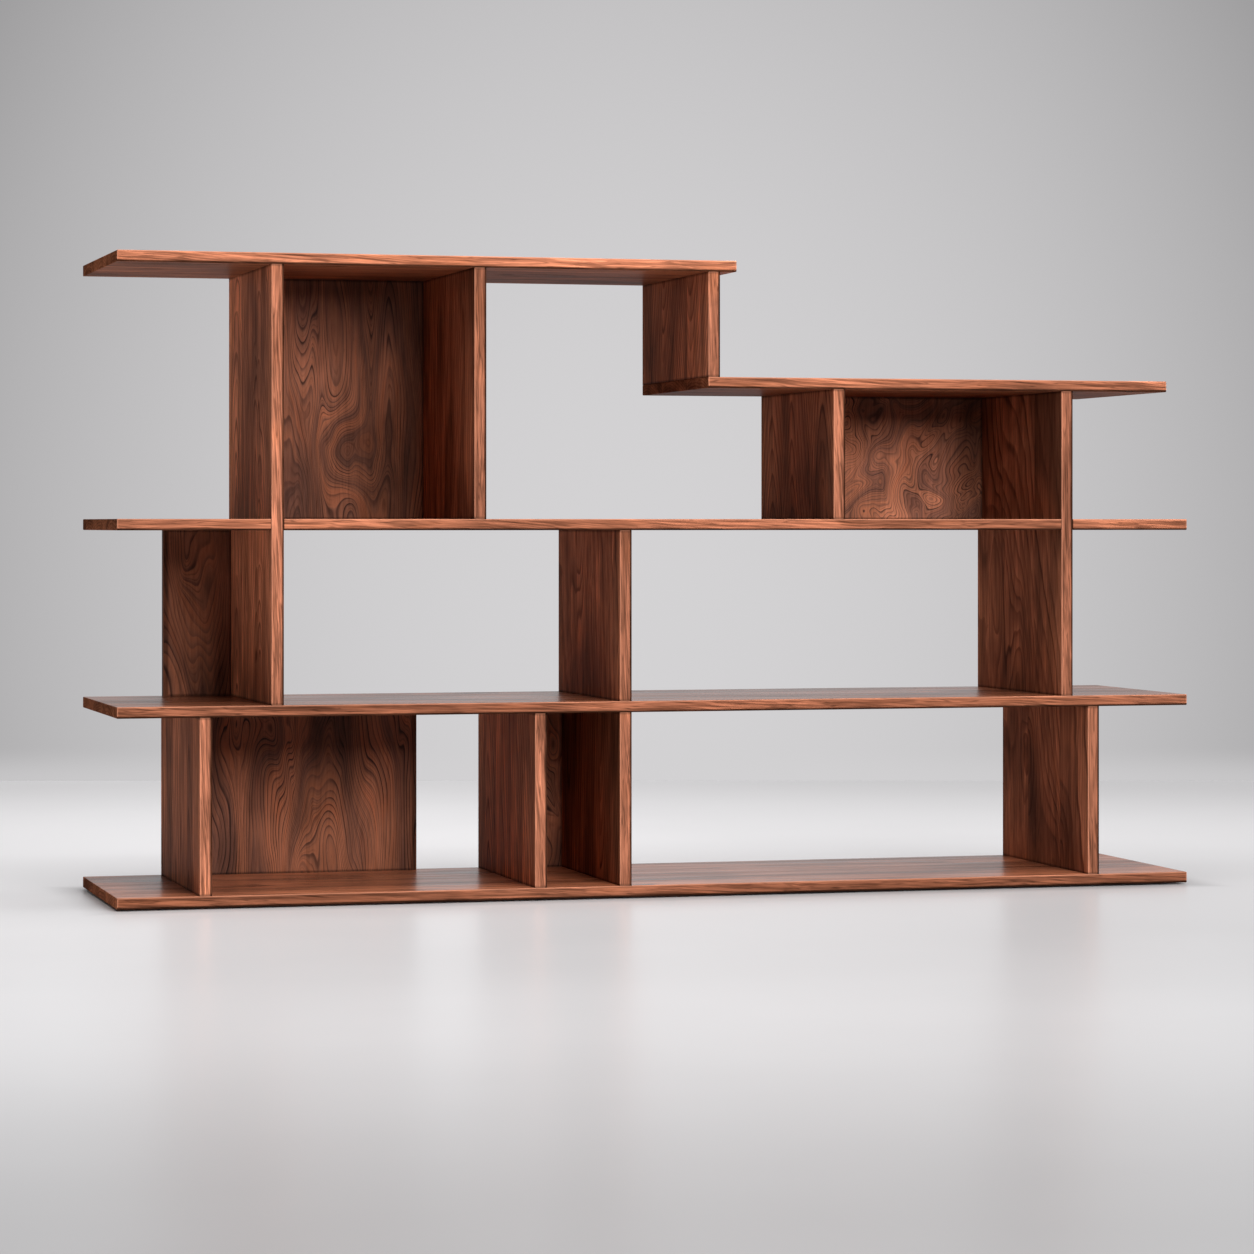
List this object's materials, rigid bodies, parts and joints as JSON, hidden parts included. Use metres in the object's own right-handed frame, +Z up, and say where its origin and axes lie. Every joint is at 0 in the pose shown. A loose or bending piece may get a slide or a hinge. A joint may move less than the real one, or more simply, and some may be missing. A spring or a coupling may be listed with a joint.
{
  "type": "bookshelf",
  "caption": "Low open walnut bookshelf whose top steps down from left to right, with offset uprights and part-width back panels, for books and display.",
  "frame": {"origin": "on the floor, under the middle of the base shelf", "axes": "+X along the shelves to the lower step, +Y to the back, +Z up"},
  "size_m": [1.8, 0.4, 1.033],
  "materials": {
    "walnut_shelf": "satin oil",
    "walnut_upright": "satin oil",
    "walnut_panel": "satin oil",
    "beech_tenon": "planed",
    "felt": "matt"
  },
  "bodies": {
    "root": {"base_shelf": "walnut_shelf", "lower_shelf": "walnut_shelf", "middle_shelf": "walnut_shelf", "step_shelf": "walnut_shelf", "top_shelf": "walnut_shelf", "base_upright_left": "walnut_upright", "base_upright_inner": "walnut_upright", "base_upright_centre": "walnut_upright", "base_upright_right": "walnut_upright", "middle_upright_centre": "walnut_upright", "tall_upright_left": "walnut_upright", "tall_upright_right": "walnut_upright", "upper_upright_left": "walnut_upright", "upper_upright_right": "walnut_upright", "step_upright": "walnut_upright", "base_back_panel_left": "walnut_panel", "base_back_panel_centre": "walnut_panel", "middle_back_panel_left": "walnut_panel", "upper_back_panel_left": "walnut_panel", "upper_back_panel_right": "walnut_panel", "tenons_base_shelf_top": "beech_tenon", "tenons_lower_shelf_underside": "beech_tenon", "tenons_lower_shelf_top": "beech_tenon", "tenons_middle_shelf_underside": "beech_tenon", "tenons_middle_shelf_top": "beech_tenon", "tenons_step_shelf_underside": "beech_tenon", "tenons_step_shelf_top": "beech_tenon", "tenons_top_shelf_underside": "beech_tenon", "felt_pads": "felt"}
  },
  "joints": []
}
